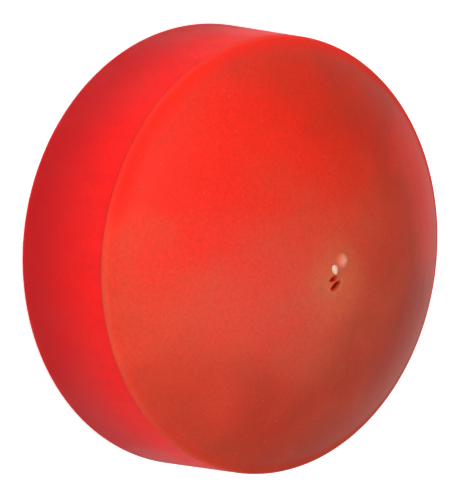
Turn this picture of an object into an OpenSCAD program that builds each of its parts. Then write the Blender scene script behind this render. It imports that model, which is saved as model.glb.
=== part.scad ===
// Inflatable friction ball for turning screw-on watch case backs.
// It lies on its flat base. Z is the axis of the ball, and z = 0 is the underside of the base.

/* [Ball] */
// Diameter of the rim, where the dome meets the wall
rim_d = 65; // [63:0.5:67]
// Diameter of the base
base_d = 69; // [68:0.5:71]
// Height of the rim above the base
wall_h = 18.4; // [17:0.2:20]
// Height of the dome above the rim
dome_h = 11.6; // [11:0.2:13]
// Thickness of the rubber
skin_t = 3; // [2.8:0.1:3.2]
// Radius of the rounded rim
rim_round = 1.6; // [0.6:0.1:1.8]
// Radius of the rounded base edge
base_round = 1; // [0.8:0.1:1.6]

/* [Bonded laps] */
// Width of the lap between two bonded mouldings
lap_h = 4; // [3:0.5:4.5]
// Thickness of the skirt that sits inside the wall
skirt_t = 1.8; // [1.5:0.1:2]

/* [Valve] */
// Distance of the needle valve from the axis of the ball
valve_offset = 2.9; // [2.9:0.1:4]
// Radius of the valve core
core_r = 1.75; // [1.6:0.05:1.75]
// Length of the valve core
core_l = 13.6; // [12:0.2:14]
// How far the core stands out of the dome
core_proud = 0.25; // [0.1:0.05:0.4]
// Radius of the needle socket in the core
socket_r = 1.25; // [1.1:0.05:1.3]
// Depth of the needle socket
socket_depth = 2.8; // [2.5:0.1:3.5]
// Length of the slit that seals behind the needle
slit_l = 2; // [1.6:0.1:2.2]
// Width of the slit
slit_w = 0.2; // [0.15:0.05:0.3]
// Direction of the slit, in degrees from +X
slit_angle = 145; // [0:1:180]
// Outer radius of the housing's barrel
barrel_r = 5; // [4.5:0.1:5.5]
// Radius of the housing's flange
flange_r = 8; // [7:0.5:9]
// Thickness of the flange
flange_t = 1.2; // [1:0.1:1.5]
// Radius of the patch that bonds the flange to the dome
patch_r = 11; // [10:0.5:12]
// Thickness of the patch
patch_t = 1; // [0.8:0.1:1.2]

/* [Centre pip] */
// Radius of the pip's head
pip_r = 1.6; // [1.4:0.1:1.6]
// Height of the pip's head above the dome
pip_h = 0.5; // [0.3:0.1:0.7]
// Radius of the pip's stem
pip_stem_r = 0.8; // [0.6:0.1:0.9]

/* [Hidden] */
$fn = 96;

rim_r = rim_d / 2;
base_r = base_d / 2;
run_gap = 0.05;      // the core in its bore
glue_gap = 0.05;     // the bond line under the dome
pip_at = [-0.5, 0];

// The dome is part of a sphere through the rim and the top.
dome_r = (rim_r * rim_r + dome_h * dome_h) / (2 * dome_h);
dome_z = wall_h + dome_h - dome_r;
inner_r = dome_r - skin_t;
under_r = inner_r - glue_gap;
function dome_top(r) = dome_z + sqrt(dome_r * dome_r - r * r);

// The wall is a cone: up_wall runs along its outline, and into_wall points into the rubber.
wall_foot = [base_r, 0];
wall_slant = norm([rim_r - base_r, wall_h]);
up_wall = [rim_r - base_r, wall_h] / wall_slant;
into_wall = [-up_wall[1], up_wall[0]];

// The rim's rounding touches the wall and, from inside, the dome's sphere.
rim_start = wall_foot + rim_round * into_wall - [0, dome_z];
rim_along = rim_start * up_wall;
rim_t = sqrt(pow(rim_along, 2) - rim_start * rim_start + pow(dome_r - rim_round, 2)) - rim_along;
rim_centre = wall_foot + rim_round * into_wall + rim_t * up_wall;
seam = wall_foot + rim_t * up_wall;
rim_ray = rim_centre - [0, dome_z];
rim_touch = [0, dome_z] + rim_ray / norm(rim_ray) * dome_r;

// The base edge's rounding touches the wall and the underside.
foot_t = base_round * (1 - into_wall[1]) / up_wall[1];
foot_centre = wall_foot + base_round * into_wall + foot_t * up_wall;
foot_touch = wall_foot + foot_t * up_wall;

// Radii of the laps inside the wall
top_lap_r = rim_r - skirt_t;
top_lap_z = seam[1] - lap_h;
base_lap_r = base_r - skin_t;
base_lap_z = skin_t + lap_h;
bore_r = top_lap_r - skirt_t;

core_top = dome_top(valve_offset) + core_proud;
core_bottom = core_top - core_l;

module at_valve() {
    translate([valve_offset, 0, 0]) children();
}

module dome_ball(r) {
    translate([0, 0, dome_z]) sphere(r = r, $fn = 200);
}

module dome_profile() {
    difference() {
        union() {
            intersection() {
                translate([0, dome_z]) circle(r = dome_r, $fn = 200);
                polygon([[0, seam[1]], seam, rim_touch, [rim_touch[0], 2 * wall_h], [0, 2 * wall_h]]);
            }
            intersection() {
                translate(rim_centre) circle(r = rim_round);
                translate([0, seam[1]]) square([base_r, wall_h]);
            }
        }
        translate([0, dome_z]) circle(r = inner_r, $fn = 200);
    }
    translate([bore_r, top_lap_z]) square([skirt_t, lap_h + skin_t / 2]);
}

// The tacky domed face, with a skirt that laps inside the wall.
module friction_dome() {
    color("#d23a2c") difference() {
        rotate_extrude() dome_profile();
        at_valve() cylinder(r = core_r + run_gap, h = 2 * (wall_h + dome_h));
        translate(pip_at) cylinder(r = pip_stem_r + run_gap, h = 2 * (wall_h + dome_h));
    }
}

// The grip wall, stepped inside for the dome's skirt and the base's skirt.
module side_wall() {
    color("#c81f24") rotate_extrude() difference() {
        union() {
            polygon([[bore_r, 0], [foot_centre[0], 0], foot_touch, seam, [bore_r, seam[1]]]);
            translate(foot_centre) circle(r = base_round);
        }
        translate([0, -1]) square([base_lap_r, base_lap_z + 1]);
        translate([0, top_lap_z]) square([top_lap_r, wall_h]);
    }
}

// The flat base, with a skirt that laps inside the wall.
module base_cap() {
    color("#bf2226") rotate_extrude() {
        square([base_lap_r, skin_t]);
        translate([base_lap_r - skirt_t, 0]) square([skirt_t, base_lap_z]);
    }
}

// The thick rubber boss that holds the valve core under the dome.
module valve_housing() {
    color("#8e2420") difference() {
        intersection() {
            dome_ball(under_r);
            union() {
                at_valve() translate([0, 0, core_bottom]) cylinder(r = barrel_r, h = core_l);
                difference() {
                    at_valve() cylinder(r = flange_r, h = 2 * wall_h);
                    dome_ball(under_r - flange_t);
                }
            }
        }
        at_valve() cylinder(r = core_r + run_gap, h = 2 * wall_h);
    }
}

// The washer of rubber that covers the flange and bonds it to the dome.
module valve_patch() {
    color("#a32a24") difference() {
        intersection() {
            dome_ball(under_r);
            at_valve() cylinder(r = patch_r, h = 2 * wall_h);
        }
        dome_ball(under_r - flange_t - glue_gap - patch_t);
        at_valve() cylinder(r = barrel_r + glue_gap, h = 2 * wall_h);
        difference() {
            at_valve() cylinder(r = flange_r + glue_gap, h = 2 * wall_h);
            dome_ball(under_r - flange_t - glue_gap);
        }
    }
}

// The soft core: a needle socket in its outer end, and a slit below that closes behind the needle.
module valve_core() {
    color("#b4352a") at_valve() difference() {
        translate([0, 0, core_bottom]) cylinder(r = core_r, h = core_l);
        translate([0, 0, core_top - socket_depth]) cylinder(r = socket_r, h = socket_depth + 1);
        translate([0, 0, core_bottom + core_l / 2 - socket_depth / 2])
            rotate(slit_angle) cube([slit_l, slit_w, core_l + 1], center = true);
    }
}

// The rubber pip that plugs the moulding hole at the top of the dome.
module centre_pip() {
    head_r = (pip_r * pip_r + pip_h * pip_h) / (2 * pip_h);
    top_z = wall_h + dome_h;
    color("#d98a78") translate(pip_at) {
        difference() {
            intersection() {
                translate([0, 0, top_z + pip_h - head_r]) sphere(r = head_r);
                translate([0, 0, top_z - skin_t]) cylinder(r = pip_r, h = 2 * skin_t);
            }
            translate(-pip_at) dome_ball(dome_r + glue_gap);
        }
        translate([0, 0, top_z - skin_t + pip_h]) cylinder(r = pip_stem_r, h = skin_t);
    }
}

friction_dome();
side_wall();
base_cap();
valve_housing();
valve_patch();
valve_core();
centre_pip();
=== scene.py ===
"""The case opening friction ball: a hollow puck of translucent red rubber with a tacky domed face.

It lies on its base, and Z is its axis. Lengths are in millimetres unless a name says otherwise.
Every shape is a numpy grid of points: rows run along a profile, and columns run round the axis.
"""
import math

import bpy
import numpy as np
from mathutils import Matrix, Vector


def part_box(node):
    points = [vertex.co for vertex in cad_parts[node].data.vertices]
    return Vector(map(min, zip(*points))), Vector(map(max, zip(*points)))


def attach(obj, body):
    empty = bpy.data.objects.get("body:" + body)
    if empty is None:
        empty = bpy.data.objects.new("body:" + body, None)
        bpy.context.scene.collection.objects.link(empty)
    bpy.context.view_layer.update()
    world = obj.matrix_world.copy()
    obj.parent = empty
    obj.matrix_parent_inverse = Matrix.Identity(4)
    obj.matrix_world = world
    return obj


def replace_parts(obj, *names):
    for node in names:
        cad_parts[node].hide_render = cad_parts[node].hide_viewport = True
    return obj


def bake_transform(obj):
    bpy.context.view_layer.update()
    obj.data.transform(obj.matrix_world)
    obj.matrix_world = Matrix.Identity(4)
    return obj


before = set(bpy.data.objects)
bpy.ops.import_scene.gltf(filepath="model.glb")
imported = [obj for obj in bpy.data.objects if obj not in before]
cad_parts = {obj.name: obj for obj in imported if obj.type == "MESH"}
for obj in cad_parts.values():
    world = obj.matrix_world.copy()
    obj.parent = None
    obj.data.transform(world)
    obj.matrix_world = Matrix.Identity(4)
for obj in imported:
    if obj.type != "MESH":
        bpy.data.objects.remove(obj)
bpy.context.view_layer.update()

MM = 0.001
TURN = 2 * math.pi
STRAIGHT_DOWN = -90  # a heading in the profile plane, in degrees


# ---------------------------------------------------------------- sizes, mostly read from the CAD model


def low(node):
    """Lowest corner of a CAD node in mm."""
    return np.array(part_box(node)[0]) / MM


def high(node):
    """Highest corner of a CAD node in mm."""
    return np.array(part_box(node)[1]) / MM


RIM_R = 32.5  # where the wall's line and the dome's sphere would meet if the rim were sharp
RIM_Z = 18.4
FOOT_R = 34.5  # where the wall's line reaches the underside
RIM_ROUND = 1.6
FOOT_ROUND = 1.0
SKIN = 3.0
SKIRT = 1.8
LAP_Z = 7.0  # top of the base's skirt
DOME_FOOT_R = 29.5  # where the dome's inner face comes down to the seam
BOND = 0.03  # the film of cement between two mouldings
RUN = 0.02  # clearance round the core
CRISP = 0.02  # a row of points stands this near a sharp edge, which keeps the shading even up to the edge
DOME_TOP = high("friction_dome")[2]
BASE_CAP_R = high("base_cap")[0]
DOME_H = DOME_TOP - RIM_Z
DOME_R = (RIM_R**2 + DOME_H**2) / (2 * DOME_H)
DOME_Z = DOME_TOP - DOME_R

CORE_AT = np.array([(low("valve_core")[0] + high("valve_core")[0]) / 2, 0.0])
CORE_R = (high("valve_core")[0] - low("valve_core")[0]) / 2
CORE_TOP = high("valve_core")[2]
CORE_BOTTOM = low("valve_core")[2]
MOUTH_R = 1.22  # radius of the core's open mouth
MOUTH_AT = CORE_AT + (-0.2, 0.16)
PIP_AT = np.array([(low("centre_pip")[0] + high("centre_pip")[0]) / 2, 0.0])
PIP_R = 1.62
STEM_R = 0.8
LUMP_AT = np.array([-0.87, 0.43])  # the pip's highest part
NUB_AT = np.array([0.88, -0.75])  # the trimmed end of the pip's sprue


# ---------------------------------------------------------------- building meshes


def mesh_piece(name, points, material, closed_rows=False, cap_first=False, cap_last=False):
    """A piece from a grid of points, rows x columns x 3 in mm, whose columns close on themselves.

    With closed_rows the last row joins the first, so the grid is a ring. A capped row is closed to its
    middle.
    """
    rows, columns = points.shape[:2]
    corners = points.reshape(-1, 3)
    row, column = np.meshgrid(np.arange(rows if closed_rows else rows - 1), np.arange(columns), indexing="ij")
    after_row, after_column = (row + 1) % rows, (column + 1) % columns
    quads = np.stack(
        [
            row * columns + column,
            row * columns + after_column,
            after_row * columns + after_column,
            after_row * columns + column,
        ],
        axis=-1,
    ).reshape(-1, 4)
    faces = quads.tolist()
    for wanted, ring, turn in ((cap_first, 0, -1), (cap_last, rows - 1, 1)):
        if wanted:
            middle = len(corners)
            corners = np.vstack([corners, points[ring].mean(axis=0)])
            edge = ring * columns + np.arange(columns)
            fan = np.stack([edge, np.roll(edge, -1), np.full(columns, middle)], axis=1)
            faces += (fan if turn > 0 else fan[:, ::-1]).tolist()
    mesh = bpy.data.meshes.new(name)
    mesh.from_pydata((corners * MM).tolist(), [], faces)
    mesh.polygons.foreach_set("use_smooth", np.ones(len(mesh.polygons), bool))
    mesh.materials.append(material)
    mesh.update()
    piece = bpy.data.objects.new(name, mesh)
    bpy.context.collection.objects.link(piece)
    return piece


def rings(r, z, columns, centre=(0.0, 0.0)):
    """Circles of radius r at height z: x = cx + r cos a and y = cy + r sin a. Each row has its own r and z,
    and can have its own centre."""
    a = np.linspace(0, TURN, columns, endpoint=False)
    r, z = np.asarray(r, float)[:, None], np.asarray(z, float)[:, None]
    centre = np.broadcast_to(np.asarray(centre, float), (len(r), 2))
    x = centre[:, :1] + r * np.cos(a)
    y = centre[:, 1:] + r * np.sin(a)
    return np.stack([x, y, z + 0 * x], axis=-1)


def arc(centre, radius, start, stop, steps):
    """Points on a circle in the profile plane, from angle start to stop in degrees, without the first."""
    t = np.radians(np.linspace(start, stop, steps + 1)[1:])
    return np.stack([centre[0] + radius * np.cos(t), centre[1] + radius * np.sin(t)], axis=1)


def line(start, stop, steps):
    """Evenly spaced points on a straight line, without its first point."""
    t = np.linspace(0, 1, steps + 1)[1:, None]
    return np.asarray(start) * (1 - t) + np.asarray(stop) * t


def ease(t):
    """0 below 0 and 1 above 1, with a smooth climb between: 3t^2 - 2t^3."""
    t = np.clip(t, 0, 1)
    return t * t * (3 - 2 * t)


def bump(distance, radius):
    """A bell of height 1 that is gone at about twice its radius: exp(-(distance/radius)^2)."""
    return np.exp(-((distance / radius) ** 2))


def turned(x, y, centre, degrees):
    """The place (x, y) measured from a centre, along and across a direction."""
    c, s = math.cos(math.radians(degrees)), math.sin(math.radians(degrees))
    x, y = x - centre[0], y - centre[1]
    return x * c + y * s, y * c - x * s


def unevenness(x, y, size, seed):
    """A gentle random relief of about height 1: a sum of waves whose length is near size, in directions
    that come from the seed."""
    rng = np.random.default_rng(seed)
    count, shortest, longest = 9, 0.7, 1.6
    relief = 0 * x
    for turn, phase, stretch in zip(
        rng.uniform(0, TURN, count), rng.uniform(0, TURN, count), rng.uniform(shortest, longest, count)
    ):
        along = (x * math.cos(turn) + y * math.sin(turn)) / (size * stretch)
        relief = relief + np.sin(TURN * along + phase)
    return relief / math.sqrt(2 * count)


# ---------------------------------------------------------------- materials


def linear(hex_colour):
    """An sRGB hex colour such as "#c81f24" as linear red, green, blue and 1."""
    parts = [int(hex_colour[i : i + 2], 16) / 255 for i in (1, 3, 5)]
    return tuple(c / 12.92 if c <= 0.04045 else ((c + 0.055) / 1.055) ** 2.4 for c in parts) + (1.0,)


def add(tree, kind, inputs=None, **settings):
    """Adds a node, sets its settings, and sets each input to a value or links it to another node's output."""
    made = tree.nodes.new(kind)
    for name, value in settings.items():
        setattr(made, name, value)
    for key, value in (inputs or {}).items():
        if isinstance(value, bpy.types.NodeSocket):
            tree.links.new(value, made.inputs[key])
        else:
            made.inputs[key].default_value = value
    return made


def new_material(name):
    """An empty material, with its tree, its output node and the Object coordinates that its patterns use."""
    material = bpy.data.materials.new(name)
    material.use_nodes = True
    tree = material.node_tree
    tree.nodes.clear()
    out = add(tree, "ShaderNodeOutputMaterial")
    return material, tree, out, add(tree, "ShaderNodeTexCoord").outputs["Object"]


def patches(tree, place, size_mm, detail, lowest, highest, weakest=0.0, strongest=1.0):
    """Random patches about size_mm across: noise from lowest to highest becomes weakest to strongest."""
    noise = add(tree, "ShaderNodeTexNoise", {"Vector": place, "Scale": 1 / (size_mm * MM), "Detail": detail})
    return add(
        tree, "ShaderNodeMapRange", interpolation_type="SMOOTHSTEP",
        inputs={
            "Value": noise.outputs["Fac"], "From Min": lowest, "From Max": highest,
            "To Min": weakest, "To Max": strongest,
        },
    ).outputs["Result"]


def spot(tree, place, centre, full_mm, gone_mm, strength=1.0):
    """A soft round spot: at its strength within full_mm of its centre, and gone at gone_mm."""
    middle = [c * MM for c in centre]
    distance = add(tree, "ShaderNodeVectorMath", {0: place, 1: middle}, operation="DISTANCE")
    return add(
        tree, "ShaderNodeMapRange", interpolation_type="SMOOTHSTEP",
        inputs={
            "Value": distance.outputs["Value"], "From Min": full_mm * MM, "From Max": gone_mm * MM,
            "To Min": strength, "To Max": 0.0,
        },
    ).outputs["Result"]


def rim_band(tree, flat, start_mm, full_mm):
    """0 within start_mm of the ball's axis and 1 beyond full_mm of it."""
    distance = add(tree, "ShaderNodeVectorMath", {0: flat}, operation="LENGTH")
    return add(
        tree, "ShaderNodeMapRange", interpolation_type="SMOOTHSTEP",
        inputs={
            "Value": distance.outputs["Value"], "From Min": start_mm * MM, "From Max": full_mm * MM,
            "To Min": 0.0, "To Max": 1.0,
        },
    ).outputs["Result"]


def loosened(tree, flat, size_mm, wander_mm):
    """Flat places moved about at random, so that what is drawn on them has no even outline. Each moves by up
    to half of wander_mm either way, and neighbours within size_mm move together."""
    wander = wander_mm * MM
    drift = add(tree, "ShaderNodeTexNoise", {"Vector": flat, "Scale": 1 / (size_mm * MM), "Detail": 3.0})
    strayed = add(
        tree, "ShaderNodeVectorMath", operation="MULTIPLY_ADD",
        inputs={0: drift.outputs["Color"], 1: (wander, wander, 0.0), 2: flat},
    )
    return add(
        tree, "ShaderNodeVectorMath", operation="SUBTRACT",
        inputs={0: strayed.outputs["Vector"], 1: (wander / 2, wander / 2, 0.0)},
    ).outputs["Vector"]


def layered(tree, base, layers):
    """A colour with others laid over it in turn, each by its own amount."""
    for amount, hex_colour in layers:
        base = add(
            tree, "ShaderNodeMixRGB", {"Fac": amount, "Color1": base, "Color2": linear(hex_colour)}
        ).outputs["Color"]
    return base


RUBBER_IOR = 1.52
RED_GREEN_BLUE_REACH = (1.0, 0.14, 0.08)  # how far each colour of light travels inside red rubber
WAVE_MM = 3.2  # the slow waviness that moulded soft rubber has under its grain
WAVE_DEPTH_MM = 0.05


def finish_rubber(tree, out, place, colour, roughness, gloss, glow_mm, grain_mm, grain_depth_mm):
    """The shader of translucent rubber: light enters it and comes out a few millimetres away, redder than it
    went in. The mould's blasted grain breaks up the shine, and a slower waviness lies under it."""
    grain = add(tree, "ShaderNodeTexNoise", {"Vector": place, "Scale": 1 / (grain_mm * MM), "Detail": 2.0})
    wavy = add(tree, "ShaderNodeTexNoise", {"Vector": place, "Scale": 1 / (WAVE_MM * MM), "Detail": 2.0})
    fine = add(
        tree,
        "ShaderNodeBump",
        {"Height": grain.outputs["Fac"], "Strength": 1.0, "Distance": grain_depth_mm * MM},
    )
    relief = add(
        tree,
        "ShaderNodeBump",
        {
            "Height": wavy.outputs["Fac"],
            "Normal": fine.outputs["Normal"],
            "Strength": 1.0,
            "Distance": WAVE_DEPTH_MM * MM,
        },
    )
    shader = add(
        tree,
        "ShaderNodeBsdfPrincipled",
        {
            "Base Color": colour,
            "Roughness": roughness,
            "Normal": relief.outputs["Normal"],
            "IOR": RUBBER_IOR,
            "Specular IOR Level": gloss,
            "Subsurface Weight": 1.0,
            "Subsurface Radius": RED_GREEN_BLUE_REACH,
            "Subsurface Scale": glow_mm * MM,
        },
    )
    tree.links.new(shader.outputs["BSDF"], out.inputs["Surface"])


PAINTED_SHEEN_AT = (9.0, 9.0, 0.0)  # the middle of the painted sheen
KEY_LIT_AT = (0.0, -14.0, 0.0)  # the middle of the key-lit side, which is kept free of the painted shade
RIM_LIT_AT = (-19.0, 21.0, 0.0)  # a smaller lit place near the rim, also kept free of the painted shade
VALVE_SHEEN_AT = (2.2, 0.8, 0.0)  # the middle of the painted sheen round the valve
MOUTH_DEPTH = 1.4  # the depth below the top of the dome at which the mouth is deepest red


def face_painted_sheen(tree, loose, patchy):
    """How much painted sheen lies on the face: over its middle, and over its +X side, where the room's bright
    side is reflected.
    """
    across = add(tree, "ShaderNodeSeparateXYZ", {"Vector": loose}).outputs["X"]
    painted_table_sheen = add(
        tree, "ShaderNodeMapRange", interpolation_type="SMOOTHSTEP",
        inputs={
            "Value": across, "From Min": -1.5 * MM, "From Max": 12 * MM, "To Min": 0.0, "To Max": 0.6,
        },
    ).outputs["Result"]
    middle = spot(tree, loose, PAINTED_SHEEN_AT, full_mm=4.0, gone_mm=34.0)
    painted_sheen = add(tree, "ShaderNodeMath", {0: painted_table_sheen, 1: middle}, operation="MAXIMUM").outputs["Value"]
    return add(tree, "ShaderNodeMath", {0: painted_sheen, 1: patchy}, operation="MULTIPLY").outputs["Value"]


def rim_and_painted_glow(tree, flat):
    """Where the rim band lies, and how much painted glow of pure red lies on it: less on the side with the
    painted sheen.
    """
    rim = rim_band(tree, flat, start_mm=29.5, full_mm=32.2)
    side = add(tree, "ShaderNodeSeparateXYZ", {"Vector": flat}).outputs["X"]
    # the share of the painted glow: high on the -X side and low on the +X side
    clear = add(
        tree, "ShaderNodeMapRange", interpolation_type="SMOOTHSTEP",
        inputs={"Value": side, "From Min": -2 * MM, "From Max": 12 * MM, "To Min": 0.75, "To Max": 0.1},
    ).outputs["Result"]
    return rim, add(tree, "ShaderNodeMath", {0: rim, 1: clear}, operation="MULTIPLY").outputs["Value"]


def tacky_face_rubber():
    """Soft unfilled natural rubber, cast against a blasted mould and left tacky.

    The rubber is a pure red. A painted sheen, paler and more orange, lies over the middle and over the +X
    side, where the room's bright side is reflected, and is palest round the valve, where a painted highlight
    lies on the bead round the mouth. Painted shade browns the face everywhere but its key-lit side and a lit
    place near the rim. The rim is scuffed dull and carries a painted glow of pure red. Lint and metal dust
    stick to it as fine specks. The blasted grain is finer than 0.4 mm, and is drawn at 0.4 mm so that it
    shows.
    """
    material, tree, out, place = new_material("tacky_face_rubber")
    flat = add(
        tree, "ShaderNodeVectorMath", {0: place, 1: (1.0, 1.0, 0.0)}, operation="MULTIPLY"
    ).outputs["Vector"]
    loose = loosened(tree, flat, size_mm=14, wander_mm=30)
    patchy = patches(tree, place, size_mm=5, detail=5.0, lowest=0.25, highest=0.75, weakest=0.7)
    cloud = add(tree, "ShaderNodeTexNoise", {"Vector": place, "Scale": 1 / (9 * MM), "Detail": 4.0})
    # painted sheen: the face is paler and more orange where light is reflected
    painted_sheen = face_painted_sheen(tree, loose, patchy)
    colour_with_painted_sheen = layered(tree, linear("#ee2513"), [(cloud.outputs["Fac"], "#f22f1a"), (painted_sheen, "#dc5e3c")])

    # painted shade: the face is painted browner and darker except on its key-lit side and a lit place near
    # the rim
    key_lit_spot = spot(tree, loose, KEY_LIT_AT, full_mm=13.0, gone_mm=40.0)
    rim_lit_spot = spot(tree, loose, RIM_LIT_AT, full_mm=4.0, gone_mm=20.0)
    unshaded = add(tree, "ShaderNodeMath", {0: key_lit_spot, 1: rim_lit_spot}, operation="MAXIMUM").outputs["Value"]
    colour_with_painted_shade = add(
        tree, "ShaderNodeMixRGB", {"Fac": unshaded, "Color1": linear("#b83820"), "Color2": colour_with_painted_sheen}
    ).outputs["Color"]

    # painted sheen round the valve, and a painted highlight on the bead round its mouth
    valve_sheen_spot = spot(tree, flat, VALVE_SHEEN_AT, full_mm=1.5, gone_mm=7.5, strength=0.55)
    painted_valve_sheen = add(tree, "ShaderNodeMath", {0: valve_sheen_spot, 1: patchy}, operation="MULTIPLY").outputs["Value"]
    painted_lip_highlight = spot(tree, flat, (*MOUTH_AT, 0.0), full_mm=1.4, gone_mm=2.6, strength=0.45)
    deep = spot(tree, place, (*MOUTH_AT, DOME_TOP - MOUTH_DEPTH), full_mm=0.8, gone_mm=1.35)
    mottle = patches(tree, place, size_mm=0.45, detail=2.0, lowest=0.3, highest=0.7, strongest=0.16)
    specks = patches(tree, place, size_mm=0.7, detail=1.0, lowest=0.74, highest=0.78, strongest=0.12)
    # painted glow: pure red over the rim, for light shining through it; the rim is also rougher
    rim, painted_rim_glow = rim_and_painted_glow(tree, flat)
    colour = layered(
        tree,
        colour_with_painted_shade,
        [
            (painted_valve_sheen, "#ec7444"),
            (painted_lip_highlight, "#ff7850"),
            (deep, "#ec1000"),
            (mottle, "#8c1c10"),
            (specks, "#e8b8a0"),
            (painted_rim_glow, "#ee2014"),
        ],
    )
    roughness = add(
        tree, "ShaderNodeMapRange", interpolation_type="SMOOTHSTEP",
        inputs={"Value": rim, "From Min": 0.0, "From Max": 1.0, "To Min": 0.5, "To Max": 0.9},
    ).outputs["Result"]
    finish_rubber(
        tree, out, place, colour, roughness, gloss=0.2, glow_mm=1.5, grain_mm=0.4, grain_depth_mm=0.022
    )
    return material


def gripped_wall_rubber():
    """The same rubber with more pigment, moulded against a finer grain: darker crimson and duller.

    Its colour is painted darker at the foot and brighter red towards the rim: a painted glow for the light
    that shines through the rubber near the rim. Fingers leave the grain shinier in vague patches, and the
    moulding has faint upright flow streaks, about four times as long as they are wide. The grain is drawn as
    coarse as the face's, so that it shows.
    """
    material, tree, out, place = new_material("gripped_wall_rubber")
    cloud = add(tree, "ShaderNodeTexNoise", {"Vector": place, "Scale": 1 / (7 * MM), "Detail": 4.0})
    upright = add(tree, "ShaderNodeMapping", {"Vector": place, "Scale": (1.0, 1.0, 0.25)}).outputs["Vector"]
    height = add(tree, "ShaderNodeSeparateXYZ", {"Vector": place}).outputs["Z"]
    # painted glow: brighter red towards the rim, for light shining through the rubber
    painted_wall_glow = add(
        tree, "ShaderNodeMapRange", interpolation_type="SMOOTHSTEP",
        inputs={"Value": height, "From Min": 1 * MM, "From Max": 20 * MM, "To Min": 0.0, "To Max": 1.0},
    ).outputs["Result"]
    streaks = patches(tree, upright, size_mm=1.6, detail=3.0, lowest=0.35, highest=0.75, strongest=0.2)
    mottle = patches(tree, place, size_mm=0.45, detail=2.0, lowest=0.3, highest=0.7, strongest=0.15)
    colour = layered(
        tree,
        linear("#9c0a0e"),
        [(cloud.outputs["Fac"], "#a60c10"), (painted_wall_glow, "#dc120e"), (streaks, "#a80f18"), (mottle, "#7c0a10")],
    )
    roughness = patches(
        tree, place, size_mm=8, detail=2.0, lowest=0.35, highest=0.65, weakest=0.5, strongest=0.6
    )
    finish_rubber(
        tree, out, place, colour, roughness, gloss=0.05, glow_mm=3.0, grain_mm=0.4, grain_depth_mm=0.022
    )
    return material


def soft_valve_rubber():
    """The valve's softer, darker compound, which is cut rather than moulded: matt, with a fine drag that is
    drawn at 0.3 mm so that it shows."""
    material, tree, out, place = new_material("soft_valve_rubber")
    cloud = add(tree, "ShaderNodeTexNoise", {"Vector": place, "Scale": 1 / (1.2 * MM), "Detail": 4.0})
    colour = layered(tree, linear("#c23c26"), [(cloud.outputs["Fac"], "#dc5438")])
    finish_rubber(
        tree, out, place, colour, roughness=0.5, gloss=0.45, glow_mm=1.4, grain_mm=0.3, grain_depth_mm=0.02
    )
    return material


def trimmed_pip_rubber():
    """The sealing pip: clear gum that dries pale in its middle, under a painted highlight on the lump's top,
    and thins out to nothing over the face. It was cast with the face, and its grain is drawn as coarse."""
    material, tree, out, place = new_material("trimmed_pip_rubber")
    lump_top = 0.3  # above the dome
    # the pale middle: the gum's own paler colour with a painted highlight on the lump's top
    pale_gum_and_highlight = spot(tree, place, (*LUMP_AT, DOME_TOP + lump_top), full_mm=0.0, gone_mm=1.5)
    streaky = patches(tree, place, size_mm=0.7, detail=3.0, lowest=0.3, highest=0.7, weakest=0.6)
    dried_gum_and_highlight = add(tree, "ShaderNodeMath", {0: pale_gum_and_highlight, 1: streaky}, operation="MULTIPLY").outputs["Value"]
    colour = layered(tree, linear("#e4582e"), [(dried_gum_and_highlight, "#ffb49c")])
    finish_rubber(
        tree, out, place, colour, roughness=0.4, gloss=0.3, glow_mm=0.5, grain_mm=0.4, grain_depth_mm=0.02
    )
    return material


def nub_highlight_rubber():
    """The nub of clear gum left where the sprue was cut: glossy, and coloured near white as a painted
    highlight.
    """
    material, tree, out, place = new_material("nub_highlight_rubber")
    cloud = add(tree, "ShaderNodeTexNoise", {"Vector": place, "Scale": 1 / (0.8 * MM), "Detail": 2.0})
    # painted highlight: the nub's colour is near white
    colour = layered(tree, linear("#ffb49c"), [(cloud.outputs["Fac"], "#ffd8c8")])
    finish_rubber(
        tree, out, place, colour, roughness=0.2, gloss=0.5, glow_mm=0.3, grain_mm=0.5, grain_depth_mm=0.01
    )
    return material


FACE_RUBBER = tacky_face_rubber()
WALL_RUBBER = gripped_wall_rubber()
VALVE_RUBBER = soft_valve_rubber()
PIP_RUBBER = trimmed_pip_rubber()
NUB_HIGHLIGHT_RUBBER = nub_highlight_rubber()


# ---------------------------------------------------------------- pieces


def wall_cone():
    """The wall's outline: its sharp foot, the way up along it, and the way into the rubber."""
    foot, top = np.array([FOOT_R, 0.0]), np.array([RIM_R, RIM_Z])
    up = (top - foot) / np.linalg.norm(top - foot)
    return foot, up, np.array([-up[1], up[0]])


def rim_points():
    """The rim's rounding: a circle that touches the wall's cone and, from inside, the dome's sphere.
    Returns its centre, where it meets the dome, and where it meets the wall."""
    foot, up, inward = wall_cone()
    start = foot + RIM_ROUND * inward - (0, DOME_Z)
    along = start @ up
    t = math.sqrt(along**2 - start @ start + (DOME_R - RIM_ROUND) ** 2) - along
    centre = start + (0, DOME_Z) + t * up
    ray = centre - (0, DOME_Z)
    return centre, np.array([0, DOME_Z]) + ray / np.linalg.norm(ray) * DOME_R, foot + t * up


def heading(centre, point):
    """The angle in degrees from a centre to a point in the profile plane."""
    return math.degrees(math.atan2(point[1] - centre[1], point[0] - centre[0]))


def cap_height(x, y):
    """The dome's sphere: z = centre + sqrt(R^2 - x^2 - y^2)."""
    return DOME_Z + np.sqrt(DOME_R**2 - x**2 - y**2)


def face_height(x, y):
    """The working face: the sphere, swollen gently round the valve and slightly uneven, but true at the
    rim. The swelling is a bell, and both it and the unevenness ease down to nothing near the rim."""
    swell_x, swell_height, swell_radius = 1.2, 0.22, 7.5
    broad, fine = 0.03, 0.012
    true_rim, fade = 1.5, 8
    swelling = swell_height * bump(np.hypot(x - swell_x, y), swell_radius)
    uneven = broad * unevenness(x, y, size=11, seed=3) + fine * unevenness(x, y, size=3.4, seed=5)
    return cap_height(x, y) + (swelling + uneven) * ease((RIM_R - true_rim - np.hypot(x, y)) / fade)


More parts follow.
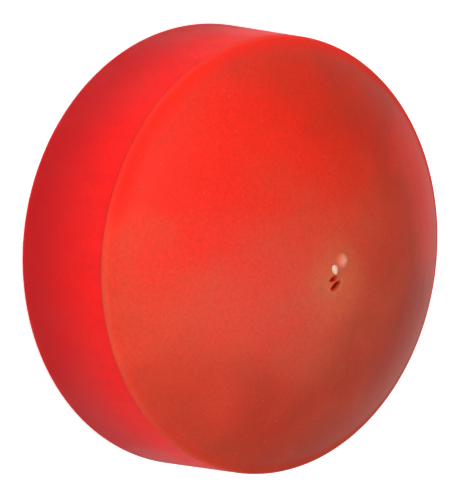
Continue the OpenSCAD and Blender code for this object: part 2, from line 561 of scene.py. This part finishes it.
def valve_lip(x, y):
    """The soft bead round the valve's mouth: a bell of the distance from the bead's circle."""
    bead_r, bead_height, bead_width = 1.6, 0.05, 0.42
    from_axis = np.hypot(x - CORE_AT[0], y - CORE_AT[1])
    return bead_height * bump(from_axis - bead_r, bead_width)


def friction_dome():
    """The domed face: rings that start as the valve's hole and widen into the rim, then the rim's rounding
    down to the seam, and back along the inner sphere to the hole. The centre of ring t is (1 - t) of the
    way from the axis to the valve."""
    columns, rows, back_rows, corner_steps = 256, 130, 60, 14
    hole_r = CORE_R + RUN
    crowding = 1.8  # rows stand closer together near the valve
    last_rows = 0.1  # the share of the rows over which the face becomes a true sphere
    rim_centre, touch, seam = rim_points()
    t = np.linspace(0, 1, rows) ** crowding
    r = hole_r + (touch[0] - hole_r) * t
    outer = rings(r, 0 * r, columns, np.outer(1 - t, CORE_AT))
    x, y = outer[..., 0], outer[..., 1]
    fade = ease((t - (1 - last_rows)) / last_rows)[:, None]
    outer[..., 2] = (face_height(x, y) + valve_lip(x, y)) * (1 - fade) + cap_height(x, y) * fade
    last = heading(rim_centre, seam)
    crisp_turn = math.degrees(CRISP / RIM_ROUND)
    corner = arc(rim_centre, RIM_ROUND, heading(rim_centre, touch), last + crisp_turn, corner_steps)
    under = line((seam[0] - CRISP, seam[1] + BOND / 2), (DOME_FOOT_R, seam[1] + BOND), 8)
    rim_rows = np.vstack([corner, seam[None], under])
    s = np.linspace(0, 1, back_rows)[1:]
    back_r = DOME_FOOT_R + (hole_r - DOME_FOOT_R) * s
    back = rings(back_r, 0 * back_r, columns, np.outer(s, CORE_AT))
    back[..., 2] = DOME_Z + np.sqrt((DOME_R - SKIN) ** 2 - back[..., 0] ** 2 - back[..., 1] ** 2)
    grid = np.concatenate([outer, rings(rim_rows[:, 0], rim_rows[:, 1], columns), back])
    piece = mesh_piece("friction_dome_skin", grid[::-1], FACE_RUBBER, closed_rows=True)
    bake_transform(piece)
    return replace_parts(piece, "friction_dome")


def side_wall():
    """The grip wall: a cone from the seam down to the rounded base edge, with a stepped bore inside."""
    columns = 256
    _, _, seam = rim_points()
    foot, up, inward = wall_cone()
    foot_t = FOOT_ROUND * (1 - inward[1]) / up[1]
    centre = foot + FOOT_ROUND * inward + foot_t * up
    touch = foot + foot_t * up
    step_r, step_z, top_z = BASE_CAP_R + BOND, LAP_Z + BOND, seam[1] - BOND
    near_seam = seam - CRISP * up
    profile = np.vstack(
        [
            seam[None],
            near_seam[None],
            line(near_seam, touch, 60),
            arc(centre, FOOT_ROUND, heading(centre, touch), STRAIGHT_DOWN, 9),
            line((centre[0], 0), (step_r, 0), 6),
            line((step_r, 0), (step_r, step_z), 8),
            line((step_r, step_z), (DOME_FOOT_R, step_z), 4),
            line((DOME_FOOT_R, step_z), (DOME_FOOT_R, top_z), 12),
            line((DOME_FOOT_R, top_z), (seam[0] - CRISP, seam[1] - BOND / 2), 6),
        ]
    )
    grid = rings(profile[:, 0], profile[:, 1], columns)
    piece = mesh_piece("side_wall_ring", grid[::-1], WALL_RUBBER, closed_rows=True)
    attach(piece, "shell")
    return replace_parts(piece, "side_wall")


def base_cap():
    """The back disc: flat with a rounded edge, and a skirt inside the wall."""
    columns, middle, edge_round = 192, 0.5, 0.3
    edge, skirt_in = BASE_CAP_R, BASE_CAP_R - SKIRT
    profile = np.vstack(
        [
            np.array([[middle, 0.0]]),
            line((middle, 0.0), (edge - edge_round, 0.0), 30),
            arc((edge - edge_round, edge_round), edge_round, STRAIGHT_DOWN, 0, 4),
            line((edge, edge_round), (edge, LAP_Z), 6),
            line((edge, LAP_Z), (skirt_in, LAP_Z), 2),
            line((skirt_in, LAP_Z), (skirt_in, SKIN), 4),
            line((skirt_in, SKIN), (middle, SKIN), 10),
        ]
    )
    grid = rings(profile[:, 0], profile[:, 1], columns)
    piece = mesh_piece("base_cap_disc", grid, WALL_RUBBER, cap_first=True, cap_last=True)
    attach(piece, "shell")
    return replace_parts(piece, "base_cap")


def sunk_oval(x, y, centre, degrees, half_axes, depth, softness):
    """The depth of an oval hollow: depth times ease((1 - oval distance) / softness), where the oval distance
    is 1 on the oval with these half axes."""
    along, across = turned(x, y, centre, degrees)
    return depth * ease((1 - np.hypot(along / half_axes[0], across / half_axes[1])) / softness)


def valve_core():
    """The core's plug: a shallow mouth in its top, with the needle's slit on one side of a web of rubber and
    a smaller pit on the other."""
    columns, rows, smallest = 200, 110, 0.015
    r = CORE_R * np.linspace(smallest, 1, rows)
    top = rings(r, 0 * r, columns, CORE_AT)
    x, y = top[..., 0], top[..., 1]
    from_axis = np.hypot(x - MOUTH_AT[0], y - MOUTH_AT[1])
    mouth_depth, mouth_edge, floor_edge = 0.3, 0.22, 0.14
    mouth = mouth_depth * ease((MOUTH_R - from_axis) / mouth_edge)
    inside = ease((MOUTH_R - CRISP - from_axis) / floor_edge)
    slit = sunk_oval(x, y, MOUTH_AT + (0.14, 0.58), 146, (1.15, 0.5), depth=1.6, softness=0.35)
    pit = sunk_oval(x, y, MOUTH_AT + (-0.62, -0.36), 118, (0.85, 0.56), depth=1.1, softness=0.45)
    top[..., 2] = face_height(x, y) + valve_lip(x, y) - mouth - inside * np.maximum(slit, pit)
    top_edge, end_round = 0.4, 0.3
    profile = np.vstack(
        [
            line((CORE_R, CORE_TOP - top_edge), (CORE_R, CORE_BOTTOM + end_round), 30),
            arc((CORE_R - end_round, CORE_BOTTOM + end_round), end_round, 0, STRAIGHT_DOWN, 4),
        ]
    )
    sides = rings(profile[:, 0], profile[:, 1], columns, CORE_AT)
    grid = np.concatenate([top, sides])
    piece = mesh_piece("valve_core_plug", grid[::-1], FACE_RUBBER, cap_first=True, cap_last=True)
    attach(piece, "core")
    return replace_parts(piece, "valve_core")


def centre_pip():
    """The sealing pip: a low soft lump that sinks into the face at its edge, on a thin stem through the dome.
    Its height over the face is a film and a bell, which ease down to the sunk edge."""
    columns, rows, smallest = 128, 60, 0.03
    lump_height, lump_radius = 0.24, 0.75
    sunk, film, roughness, edge_width = 0.05, 0.03, 0.02, 0.7
    r = np.linspace(smallest, PIP_R, rows)
    top = rings(r, 0 * r, columns, PIP_AT)
    x, y = top[..., 0], top[..., 1]
    lump = lump_height * bump(np.hypot(x - LUMP_AT[0], y - LUMP_AT[1]), lump_radius)
    raised = sunk + film + lump + roughness * unevenness(x, y, size=1.3, seed=8)
    top[..., 2] = face_height(x, y) - sunk + raised * ease((PIP_R - r) / edge_width)[:, None]
    stem_start, short_of_inside = 0.4, 0.3
    stem = line((STEM_R, DOME_TOP - stem_start), (STEM_R, DOME_TOP - SKIN + short_of_inside), 6)
    sides = rings(stem[:, 0], stem[:, 1], columns, PIP_AT)
    grid = np.concatenate([top, sides])
    piece = mesh_piece("centre_pip_plug", grid[::-1], PIP_RUBBER, cap_first=True, cap_last=True)
    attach(piece, "valve")
    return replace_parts(piece, "centre_pip")


def sprue_nub():
    """The trimmed end of the sprue: an egg of gum, half sunk in the face beside the valve's mouth.
    Ring p of the egg is half sine p wide, and its height follows cosine p."""
    columns, rows, pole_gap = 64, 28, 0.04
    half_length, half_width, half_height = 0.72, 0.50, 0.32
    taper, raised, roughness = 0.18, 0.08, 0.02
    lean = math.radians(37)
    p = np.linspace(pole_gap, 1 - pole_gap, rows) * math.pi
    a = np.linspace(0, TURN, columns, endpoint=False)
    along = half_length * np.outer(np.sin(p), np.cos(a))
    across = half_width * np.outer(np.sin(p), np.sin(a)) * (1 - taper * along / half_length)
    x = NUB_AT[0] + along * math.cos(lean) - across * math.sin(lean)
    y = NUB_AT[1] + along * math.sin(lean) + across * math.cos(lean)
    crust = roughness * unevenness(x, y, size=0.9, seed=4)
    z = face_height(*NUB_AT) + raised + half_height * np.cos(p)[:, None] + crust
    grid = np.stack([x, y, z], axis=-1)
    piece = mesh_piece("sprue_nub", grid[::-1], NUB_HIGHLIGHT_RUBBER, cap_first=True, cap_last=True)
    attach(piece, "valve")
    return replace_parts(piece, "centre_pip")


friction_dome()
side_wall()
base_cap()
valve_core()
centre_pip()
sprue_nub()
for node in ("valve_housing", "valve_patch"):
    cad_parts[node].data.materials.clear()
    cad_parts[node].data.materials.append(VALVE_RUBBER)


# ---------------------------------------------------------------- camera, floor and light


def camera():
    """The camera, turned about the way it looks so that the ball seems to stand on its edge."""
    azimuth, elevation, roll = math.radians(9.88), math.radians(50.17), math.radians(-98.54)
    aim = Vector((1.53, -7.71, 15.0)) * MM
    distance = 240.37 * MM
    level = math.cos(elevation)
    toward = Vector((math.sin(azimuth) * level, -math.cos(azimuth) * level, math.sin(elevation)))
    level_right = (-toward).cross(Vector((0, 0, 1))).normalized()
    level_up = level_right.cross(-toward)
    up = level_up * math.cos(roll) + level_right * math.sin(roll)
    right = (-toward).cross(up)
    data = bpy.data.cameras.new("camera")
    data.lens = 118.26
    data.clip_start = 10 * MM
    made = bpy.data.objects.new("camera", data)
    turn = Matrix((right, up, toward)).transposed().to_4x4()
    made.matrix_world = Matrix.Translation(aim + toward * distance) @ turn
    bpy.context.collection.objects.link(made)
    bpy.context.scene.camera = made


def direction(azimuth, elevation):
    """A unit vector: azimuth in degrees from +X towards +Y, elevation above the floor."""
    a, e = math.radians(azimuth), math.radians(elevation)
    return Vector((math.cos(a) * math.cos(e), math.sin(a) * math.cos(e), math.sin(e)))


def softbox(name, azimuth, elevation, distance_mm, side_mm, watts):
    """A square softbox that looks at the middle of the ball."""
    middle = Vector((0, 0, 12)) * MM  # the point that every softbox faces
    data = bpy.data.lights.new(name, "AREA")
    data.shape = "SQUARE"
    data.size = side_mm * MM
    data.energy = watts
    made = bpy.data.objects.new(name, data)
    made.location = middle + direction(azimuth, elevation) * distance_mm * MM
    made.rotation_mode = "QUATERNION"
    made.rotation_quaternion = direction(azimuth, elevation).to_track_quat("Z", "Y")
    made.visible_camera = False
    bpy.context.collection.objects.link(made)


def inner_glow(name, radius_mm, azimuth, height_mm, watts):
    """A small soft lamp in the air chamber, for the light that a strong lamp sends through the rubber."""
    data = bpy.data.lights.new(name, "POINT")
    data.shadow_soft_size = 3 * MM
    data.energy = watts
    data.color = linear("#ff3018")[:3]
    made = bpy.data.objects.new(name, data)
    made.location = direction(azimuth, 0) * radius_mm * MM + Vector((0, 0, height_mm)) * MM
    bpy.context.collection.objects.link(made)


def floor():
    """A plain pale floor, lit from below as a light table is."""
    material, tree, out, _ = new_material("light_table_floor")
    shader = add(
        tree,
        "ShaderNodeBsdfPrincipled",
        {
            "Base Color": linear("#f4f4f4"),
            "Roughness": 0.8,
            "Emission Color": linear("#ffffff"),
            "Emission Strength": 0.6,
        },
    )
    tree.links.new(shader.outputs["BSDF"], out.inputs["Surface"])
    half_m, below_mm = 3.0, 0.2
    corners = [(-half_m, -half_m, 0), (half_m, -half_m, 0), (half_m, half_m, 0), (-half_m, half_m, 0)]
    mesh = bpy.data.meshes.new("floor")
    mesh.from_pydata(corners, [], [(0, 1, 2, 3)])
    mesh.materials.append(material)
    made = bpy.data.objects.new("floor", mesh)
    made.location.z = -below_mm * MM
    bpy.context.collection.objects.link(made)


def studio():
    """The room: dim over the ball's -X side, and brighter on its +X side, where a white table top stands."""
    world = bpy.data.worlds.new("studio")
    world.use_nodes = True
    tree = world.node_tree
    background = tree.nodes["Background"]
    way = add(tree, "ShaderNodeTexCoord").outputs["Generated"]
    bright_side = tuple(Vector((0.955, 0.282, 0.095)).normalized())
    lean = add(tree, "ShaderNodeVectorMath", {0: way, 1: bright_side}, operation="DOT_PRODUCT")
    half_blur = 0.12
    share = add(
        tree, "ShaderNodeMapRange", interpolation_type="SMOOTHSTEP",
        inputs={
            "Value": lean.outputs["Value"], "From Min": -half_blur, "From Max": half_blur,
            "To Min": 0.0, "To Max": 1.0,
        },
    ).outputs["Result"]
    colour = layered(tree, linear("#282828"), [(share, "#606060")])
    tree.links.new(colour, background.inputs["Color"])
    background.inputs["Strength"].default_value = 1.0
    bpy.context.scene.world = world


# Each softbox: name, azimuth and elevation in degrees, distance and side in mm, and power in watts
SOFTBOXES = (
    ("key_softbox", 250, 28, 220, 120, 0.215),
    ("low_softbox", 244, 11, 220, 120, 0.04),
    ("foot_softbox", 304, 8, 220, 120, 0.19),
    ("side_softbox", 200, 7, 220, 120, 0.13),
    ("back_softbox", 80, 55, 320, 200, 0.2),
    ("top_softbox", 0, 76, 320, 200, 0.36),
)
# Each inner glow: name, distance from the axis in mm, azimuth in degrees, height in mm, and power in watts
INNER_GLOWS = (
    ("glow_under_face", 11, 245, 14, 0.016),
    ("glow_behind_wall", 22, 235, 15, 0.003),
    ("glow_at_side", 25, 200, 15, 0.014),
    ("glow_at_back", 25, 140, 16, 0.01),
    ("glow_at_foot", 24, 312, 10, 0.002),
)

floor()
camera()
studio()
for values in SOFTBOXES:
    softbox(*values)
for values in INNER_GLOWS:
    inner_glow(*values)
bpy.context.scene.view_settings.view_transform = "Standard"
